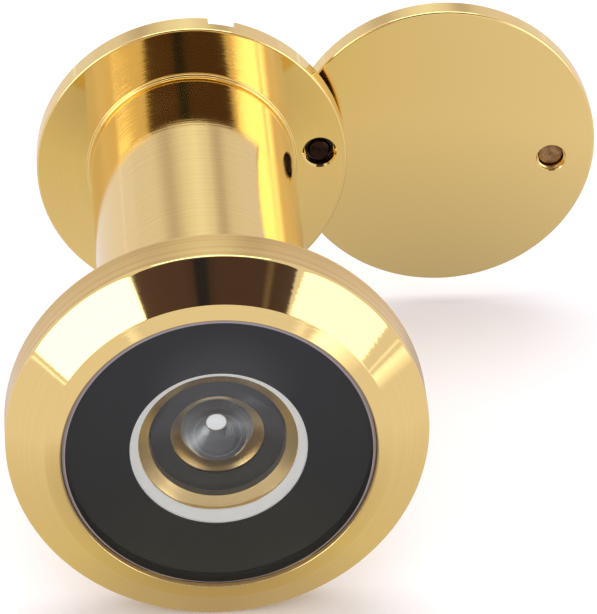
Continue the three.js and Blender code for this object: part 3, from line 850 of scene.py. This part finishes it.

# ---- pivot pin and collar ----
# The pin is plain brass, pressed into the cover and running in the flange, and a steel collar is
# staked on its end. Both are coloured near black.
def pin_material(name, tone, second_tone, roughness, metallic=1.0):
    """Plain metal that has dulled in patches about half a millimetre across."""
    material, tree = new_material(name)
    place = add_node(tree, "ShaderNodeTexCoord").outputs["Object"]
    patches = add_node(tree, "ShaderNodeTexNoise", {"Vector": place, "Scale": 2000.0, "Detail": 5.0})
    mixed = add_node(tree, "ShaderNodeMix", {
        "Factor": add_node(tree, "ShaderNodeMapRange", {
            "Value": patches.outputs["Fac"], "From Min": 0.35, "From Max": 0.65}).outputs["Result"],
        "A": colour(tone), "B": colour(second_tone)}, data_type="RGBA")
    bump = add_node(tree, "ShaderNodeBump", {
        "Height": patches.outputs["Fac"], "Strength": 0.6, "Distance": 2e-5})
    surface = add_node(tree, "ShaderNodeBsdfPrincipled", {
        "Base Color": mixed.outputs["Result"], "Metallic": metallic, "Roughness": roughness,
        "Normal": bump.outputs["Normal"]})
    add_node(tree, "ShaderNodeOutputMaterial", {"Surface": surface.outputs[0]})
    return material


# Both tones are near black, as the pin and collar look in the flange's hole.
near_black_brass = pin_material("near_black_plain_brass", "#3A2A22", "#1C1514", 0.35)
near_black_steel = pin_material("near_black_staked_steel", "#3A3436", "#1E1A1C", 0.35)
(_, cover_front, _), (_, cover_back, _) = in_mm(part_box("cover_disc"))
pin_low, pin_high = in_mm(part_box("pivot_pin"))
PIN_RADIUS = 0.72
PIN_SHOULDER = flange_back + 0.62
pin_mesh = turned("pivot_pin_brass", [
    (0, pin_low[1], 0),
    (PIN_RADIUS, pin_low[1], 0.15),
    (PIN_RADIUS, PIN_SHOULDER, 0),
    (pin_high[0] - pivot[0], PIN_SHOULDER, 0.06),
    (pin_high[0] - pivot[0], cover_front - 0.05, 0.06),
    (PIN_RADIUS, cover_front - 0.05, 0),
    (PIN_RADIUS, pin_high[1], 0.05),
    (0, pin_high[1], 0),
], centre=pivot, sides=64)
pivot_pin = new_object("pivot_pin_brass", pin_mesh, near_black_brass)
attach(pivot_pin, "cover")
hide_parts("pivot_pin")

collar_mesh = turned("pivot_collar_steel", [
    (PIN_RADIUS + 0.04, pivot_low[1], 0.06),
    (PIN_COUNTERBORE - 0.08, pivot_low[1], 0.1),
    (PIN_COUNTERBORE - 0.08, pivot_high[1], 0.04),
    (PIN_RADIUS + 0.04, pivot_high[1], 0.04),
], centre=pivot, sides=64)
pivot_collar = new_object("pivot_collar_steel", collar_mesh, near_black_steel)
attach(pivot_collar, "cover")
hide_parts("pivot_collar")

# ---- spring washer ----
# A cone washer of rolled spring steel, stamped. Its push gives the friction that holds the cover.
WASHER_BORE = 0.9
WASHER_RADIUS = 1.75
WASHER_THICK = 0.18
spring_steel = pin_material("rolled_spring_steel", "#B9B4AA", "#7D776E", 0.3)
washer_top = PIN_SHOULDER - 0.23
washer_foot = flange_back + 0.06
washer_mesh = turned("spring_washer_steel", [
    (WASHER_BORE, washer_top, 0.03),
    (WASHER_RADIUS, washer_foot, 0.05),
    (WASHER_RADIUS, washer_foot + WASHER_THICK, 0.05),
    (WASHER_BORE, washer_top + WASHER_THICK, 0.03),
], centre=pivot, sides=96)
spring_washer = new_object("spring_washer_steel", washer_mesh, spring_steel)
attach(spring_washer, "flange")
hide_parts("spring_washer")

# ---- cover disc ----
# The swinging cover: a thick blanked brass disc, polished flat with its edges just broken, and gold
# plated. The pivot pin stands in a blind socket in its inner face; a stepped hole takes the knob.
cover_gold = gold_material("softly_polished_gold_plated_brass", roughness=0.13, turning_marks=0.0)
cover_low, cover_high = in_mm(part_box("cover_disc"))
cover_centre = ((cover_low[0] + cover_high[0]) / 2, (cover_low[2] + cover_high[2]) / 2)
cover_radius = (cover_high[0] - cover_low[0]) / 2
knob_low, knob_high = in_mm(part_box("cover_knob"))
knob_centre = ((knob_low[0] + knob_high[0]) / 2, (knob_low[2] + knob_high[2]) / 2)
SHANK_RADIUS = 0.85
cover_mesh = turned("cover_disc_gold", [
    (0, cover_front, 0),
    (cover_radius, cover_front, 0.15),
    (cover_radius, cover_back, 0.15),
    (0, cover_back, 0),
], centre=cover_centre, sides=256)
cover_disc = new_object("cover_disc_gold", cover_mesh, cover_gold)
SOCKET_RADIUS = PIN_RADIUS + 0.05
SOCKET_DEPTH = 0.95
SOCKET_CHAMFER = 0.08
cut(cover_disc, turned("socket_cutter", [
    (0, cover_front - OVERCUT, 0),
    (SOCKET_RADIUS + SOCKET_CHAMFER, cover_front - OVERCUT, 0),
    (SOCKET_RADIUS + SOCKET_CHAMFER, cover_front, 0),
    (SOCKET_RADIUS, cover_front + SOCKET_CHAMFER, 0),
    (SOCKET_RADIUS, cover_front + SOCKET_DEPTH, 0),
    (0, cover_front + SOCKET_DEPTH, 0),
], centre=pivot, sides=48))
KNOB_STEP = 0.98
KNOB_STEP_DEPTH = 0.3
KNOB_HOLE = SHANK_RADIUS + 0.05
KNOB_CHAMFER = 0.06
cut(cover_disc, turned("knob_hole_cutter", [
    (0, cover_front - OVERCUT, 0),
    (KNOB_STEP + KNOB_CHAMFER, cover_front - OVERCUT, 0),
    (KNOB_STEP + KNOB_CHAMFER, cover_front, 0),
    (KNOB_STEP, cover_front + KNOB_CHAMFER, 0),
    (KNOB_STEP, cover_front + KNOB_STEP_DEPTH, 0),
    (KNOB_HOLE, cover_front + KNOB_STEP_DEPTH + 0.04, 0),
    (KNOB_HOLE, cover_back + OVERCUT, 0),
    (0, cover_back + OVERCUT, 0),
], centre=knob_centre, sides=64))
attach(cover_disc, "cover")
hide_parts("cover_disc")

# ---- cover knob ----
# A small finger knob on the room side, turned from brass and gold plated with the cover. Its shank
# goes through the cover, and the bare, dulled end of the shank shows in the stepped hole.
dull_brass = pin_material("dulled_coppery_brass", "#B08A62", "#7A5C42", 0.4)
KNOB_FOOT = 1.3
KNOB_NECK = 1.1
KNOB_CROWN = 0.45
knob_seat = cover_back + 0.04
knob_radius = (knob_high[0] - knob_low[0]) / 2
knob_mesh = turned("cover_knob_gold", [
    (0, knob_low[1], 0),
    (SHANK_RADIUS, knob_low[1], 0.08),
    (SHANK_RADIUS, knob_seat, 0),
    (KNOB_FOOT, knob_seat, 0.04),
    (KNOB_NECK, knob_seat + 0.3, 0.1),
    (KNOB_NECK, knob_seat + 0.7, 0.1),
    (knob_radius, knob_seat + 1.1, 0.1),
    (knob_radius, knob_high[1] - KNOB_CROWN, 0.3),
    (knob_radius - KNOB_CROWN, knob_high[1], 0.3),
    (0, knob_high[1], 0),
], centre=knob_centre, sides=96)
cover_knob = new_object("cover_knob_gold", knob_mesh, polished_gold, dull_brass)
for face in knob_mesh.polygons:
    if face.center.y < cover_back * MM:
        face.material_index = 1
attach(cover_knob, "cover")
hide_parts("cover_knob")
